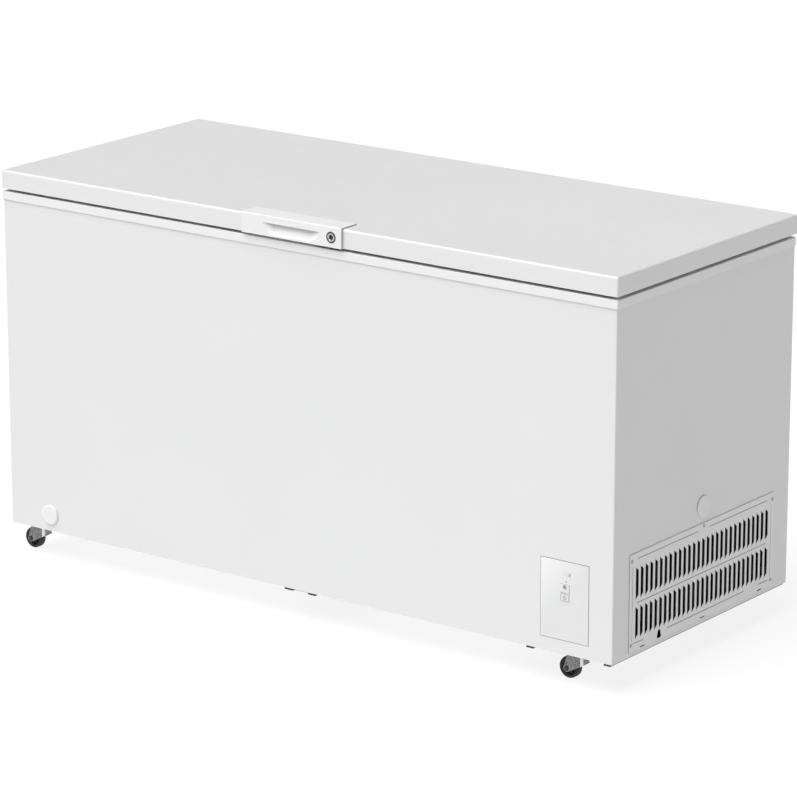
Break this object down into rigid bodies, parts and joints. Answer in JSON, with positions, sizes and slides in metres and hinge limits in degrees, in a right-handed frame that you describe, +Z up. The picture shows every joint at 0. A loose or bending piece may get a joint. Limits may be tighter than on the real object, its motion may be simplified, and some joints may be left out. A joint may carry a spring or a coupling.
{
  "type": "chest freezer",
  "caption": "Large white chest freezer on swivel casters, with a rear-hinged lid, front lid handle with lock, side air grille, front control panel and drain cap.",
  "frame": {"origin": "on the floor, under the middle of the overall box", "axes": "+Z up, +X along the width to the grille side, the front faces -Y"},
  "size_m": [1.6552, 0.7154, 0.8972],
  "materials": {
    "white_enamel": "gloss",
    "zinc_sheet": "satin",
    "foam": "matte",
    "liner_aluminium": "satin",
    "white_plastic": "satin",
    "fascia_plastic": "gloss",
    "button_plastic": "satin",
    "grey_plastic": "matte",
    "black_steel": "satin",
    "black_plastic": "matte",
    "condenser_black": "matte",
    "copper": "satin",
    "rubber": "matte",
    "screw_steel": "satin",
    "chrome": "polished",
    "board_green": "satin",
    "wire_white": "gloss",
    "fork_zinc": "satin",
    "wheel_black": "matte"
  },
  "bodies": {
    "cabinet": {"outer_shell": "white_enamel", "back_panel": "zinc_sheet", "base_panel": "zinc_sheet", "base_rail": "black_steel", "cabinet_foam": "foam", "inner_liner": "liner_aluminium", "top_trim": "white_plastic", "lock_keeper": "zinc_sheet", "compressor_tray": "black_steel", "bay_partition": "black_steel", "compressor": "black_steel", "compressor_grommets": "rubber", "terminal_box": "black_plastic", "condenser_coil": "condenser_black", "fan_shroud": "black_steel", "fan_motor": "black_plastic", "evaporator_tube": "copper", "refrigerant_pipes": "copper", "filter_drier": "copper", "rear_cover": "black_steel", "cord_gland": "rubber", "cover_screws": "screw_steel", "drain_tube": "grey_plastic", "side_port_plug": "white_plastic", "panel_bezel": "grey_plastic", "panel_fascia": "fascia_plastic", "control_board": "board_green", "side_grille": "white_plastic", "caster_plates": "zinc_sheet", "hinge_cabinet_leaves": "zinc_sheet", "hinge_pins": "screw_steel"},
    "lid": {"lid_skin": "white_enamel", "lid_foam": "foam", "lid_liner": "white_plastic", "lid_gasket": "rubber", "lid_handle": "white_plastic", "lock_bezel": "chrome", "hinge_lid_leaves": "zinc_sheet", "hinge_springs": "screw_steel"},
    "lock": {"lock_cylinder": "chrome", "lock_cam": "screw_steel"},
    "basket": {"basket_side_grids": "wire_white", "basket_end_grids": "wire_white", "basket_floor_grid": "wire_white"},
    "fan": {"condenser_fan": "black_plastic"},
    "drain_cap": {"drain_cap": "white_plastic"},
    "power_button": {"power_button": "button_plastic"},
    "mode_button": {"mode_button": "button_plastic"},
    "caster_fork_body_front_right": {"caster_fork_front_right": "fork_zinc", "caster_axle_front_right": "black_steel"},
    "caster_wheel_body_front_right": {"caster_wheel_front_right": "wheel_black"},
    "caster_fork_body_front_left": {"caster_fork_front_left": "fork_zinc", "caster_axle_front_left": "black_steel"},
    "caster_wheel_body_front_left": {"caster_wheel_front_left": "wheel_black"},
    "caster_fork_body_rear_right": {"caster_fork_rear_right": "fork_zinc", "caster_axle_rear_right": "black_steel"},
    "caster_wheel_body_rear_right": {"caster_wheel_rear_right": "wheel_black"},
    "caster_fork_body_rear_left": {"caster_fork_rear_left": "fork_zinc", "caster_axle_rear_left": "black_steel"},
    "caster_wheel_body_rear_left": {"caster_wheel_rear_left": "wheel_black"}
  },
  "joints": [
    {"name": "lid_hinge", "type": "hinge", "parent": "cabinet", "child": "lid", "pos_m": [0, 0.3507, 0.862], "axis": [-1, 0, 0], "range_deg": [0, 80], "deforming": ["hinge_springs"]},
    {"name": "lock_turn", "type": "hinge", "parent": "lid", "child": "lock", "pos_m": [0.107, -0.3473, 0.874], "axis": [0, -1, 0], "range_deg": [0, 90]},
    {"name": "basket_slide", "type": "slide", "parent": "cabinet", "child": "basket", "axis": [1, 0, 0], "range_m": [-1.15, 0]},
    {"name": "fan_spin", "type": "hinge", "parent": "cabinet", "child": "fan", "pos_m": [0.749, -0.1073, 0.18], "axis": [1, 0, 0], "continuous": true},
    {"name": "drain_cap_pull", "type": "slide", "parent": "cabinet", "child": "drain_cap", "axis": [0, -1, 0], "range_m": [0, 0.032]},
    {"name": "power_button_press", "type": "slide", "parent": "cabinet", "child": "power_button", "axis": [0, 1, 0], "range_m": [0, 0.0008], "stiffness_N_per_m": 400, "springref_m": -0.001},
    {"name": "mode_button_press", "type": "slide", "parent": "cabinet", "child": "mode_button", "axis": [0, 1, 0], "range_m": [0, 0.0008], "stiffness_N_per_m": 400, "springref_m": -0.001},
    {"name": "caster_swivel_front_right", "type": "hinge", "parent": "cabinet", "child": "caster_fork_body_front_right", "pos_m": [0.7078, -0.2923, 0.065], "axis": [0, 0, 1], "continuous": true},
    {"name": "caster_roll_front_right", "type": "hinge", "parent": "caster_fork_body_front_right", "child": "caster_wheel_body_front_right", "pos_m": [0.6858, -0.2923, 0.024], "axis": [0, 1, 0], "continuous": true},
    {"name": "caster_swivel_front_left", "type": "hinge", "parent": "cabinet", "child": "caster_fork_body_front_left", "pos_m": [-0.7816, -0.2923, 0.065], "axis": [0, 0, 1], "continuous": true},
    {"name": "caster_roll_front_left", "type": "hinge", "parent": "caster_fork_body_front_left", "child": "caster_wheel_body_front_left", "pos_m": [-0.8036, -0.2923, 0.024], "axis": [0, 1, 0], "continuous": true},
    {"name": "caster_swivel_rear_right", "type": "hinge", "parent": "cabinet", "child": "caster_fork_body_rear_right", "pos_m": [0.7078, 0.2777, 0.065], "axis": [0, 0, 1], "continuous": true},
    {"name": "caster_roll_rear_right", "type": "hinge", "parent": "caster_fork_body_rear_right", "child": "caster_wheel_body_rear_right", "pos_m": [0.6858, 0.2777, 0.024], "axis": [0, 1, 0], "continuous": true},
    {"name": "caster_swivel_rear_left", "type": "hinge", "parent": "cabinet", "child": "caster_fork_body_rear_left", "pos_m": [-0.7816, 0.2777, 0.065], "axis": [0, 0, 1], "continuous": true},
    {"name": "caster_roll_rear_left", "type": "hinge", "parent": "caster_fork_body_rear_left", "child": "caster_wheel_body_rear_left", "pos_m": [-0.8036, 0.2777, 0.024], "axis": [0, 1, 0], "continuous": true}
  ]
}
